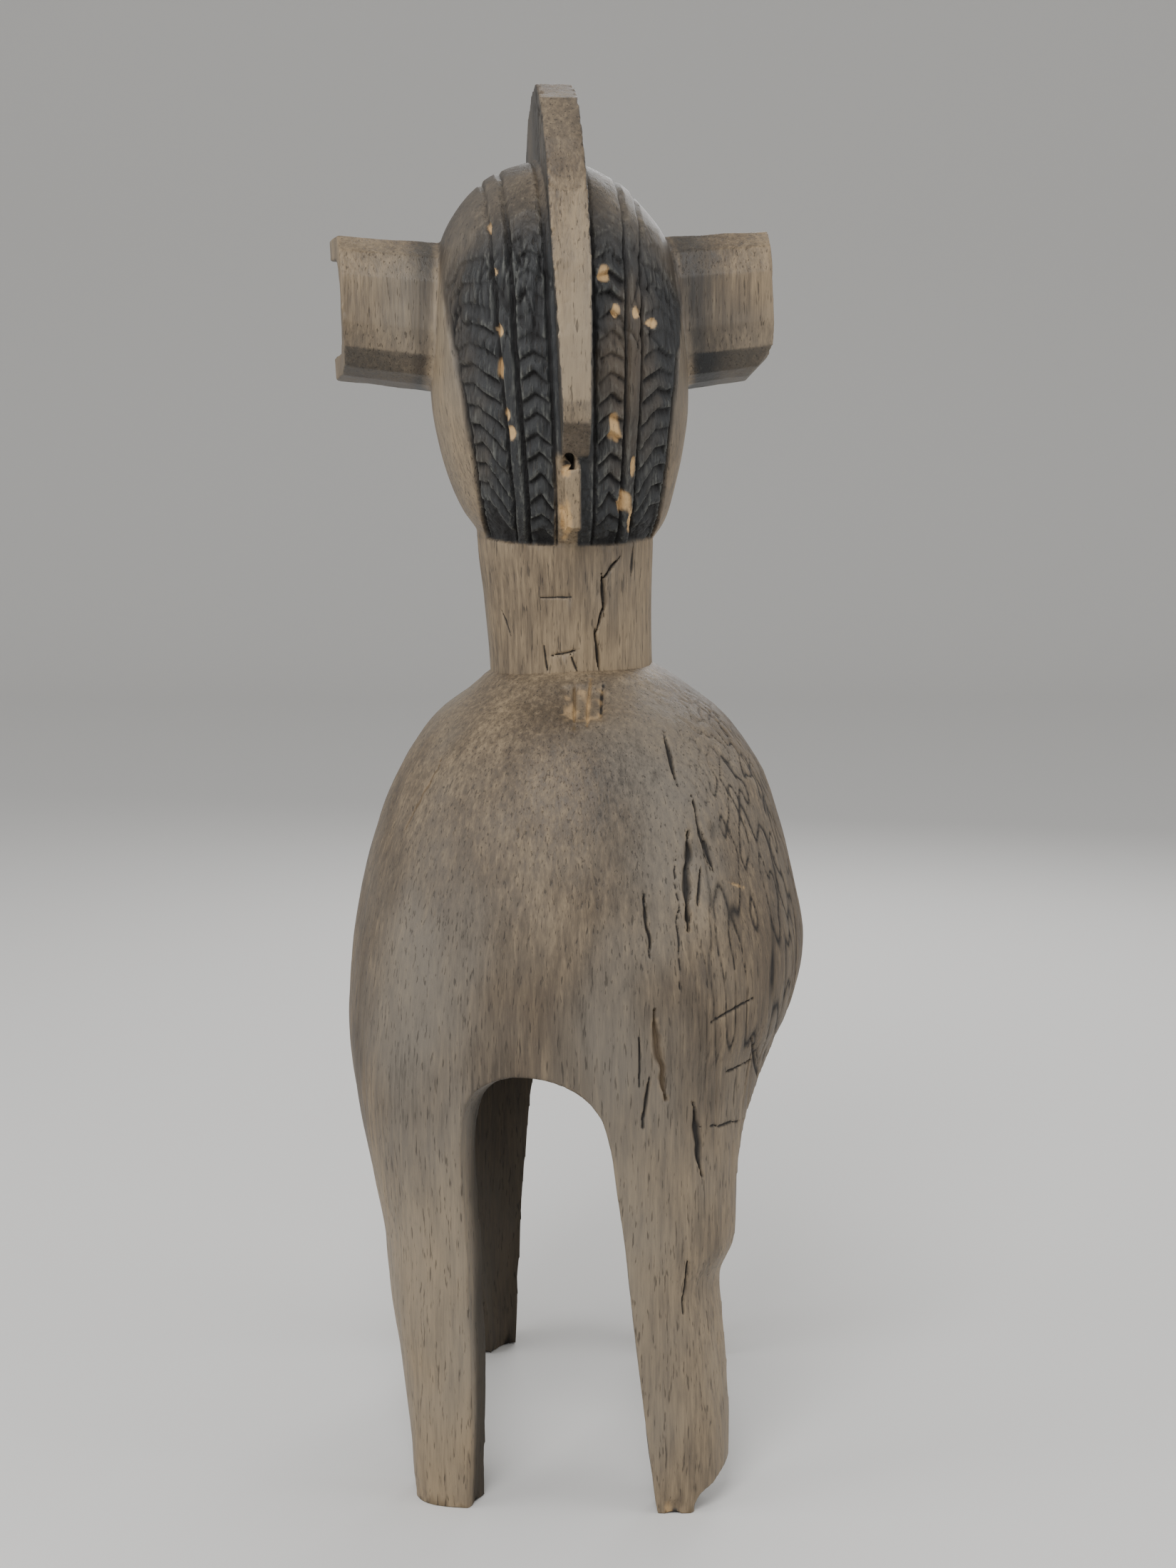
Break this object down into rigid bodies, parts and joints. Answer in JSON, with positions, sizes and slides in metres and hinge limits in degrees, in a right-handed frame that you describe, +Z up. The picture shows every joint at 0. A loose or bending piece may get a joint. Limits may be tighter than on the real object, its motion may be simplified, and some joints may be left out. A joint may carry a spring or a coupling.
{
  "type": "nimba shoulder mask",
  "caption": "Tall carved wooden nimba mask: a crested head with braids and side ears on a long neck, over a hollow four-legged yoke that stands by itself.",
  "frame": {"origin": "centre of the underside of the bounding box, on the floor that the four feet stand on", "axes": "+Z up along the neck; the face and the breasts look along -Y, the back of the head along +Y; +X is the mask's own left"},
  "size_m": [0.4394, 0.5384, 1.254],
  "materials": {
    "wood": "old dark patina, worn and dull"
  },
  "bodies": {
    "root": {"mask": "wood"}
  },
  "joints": []
}
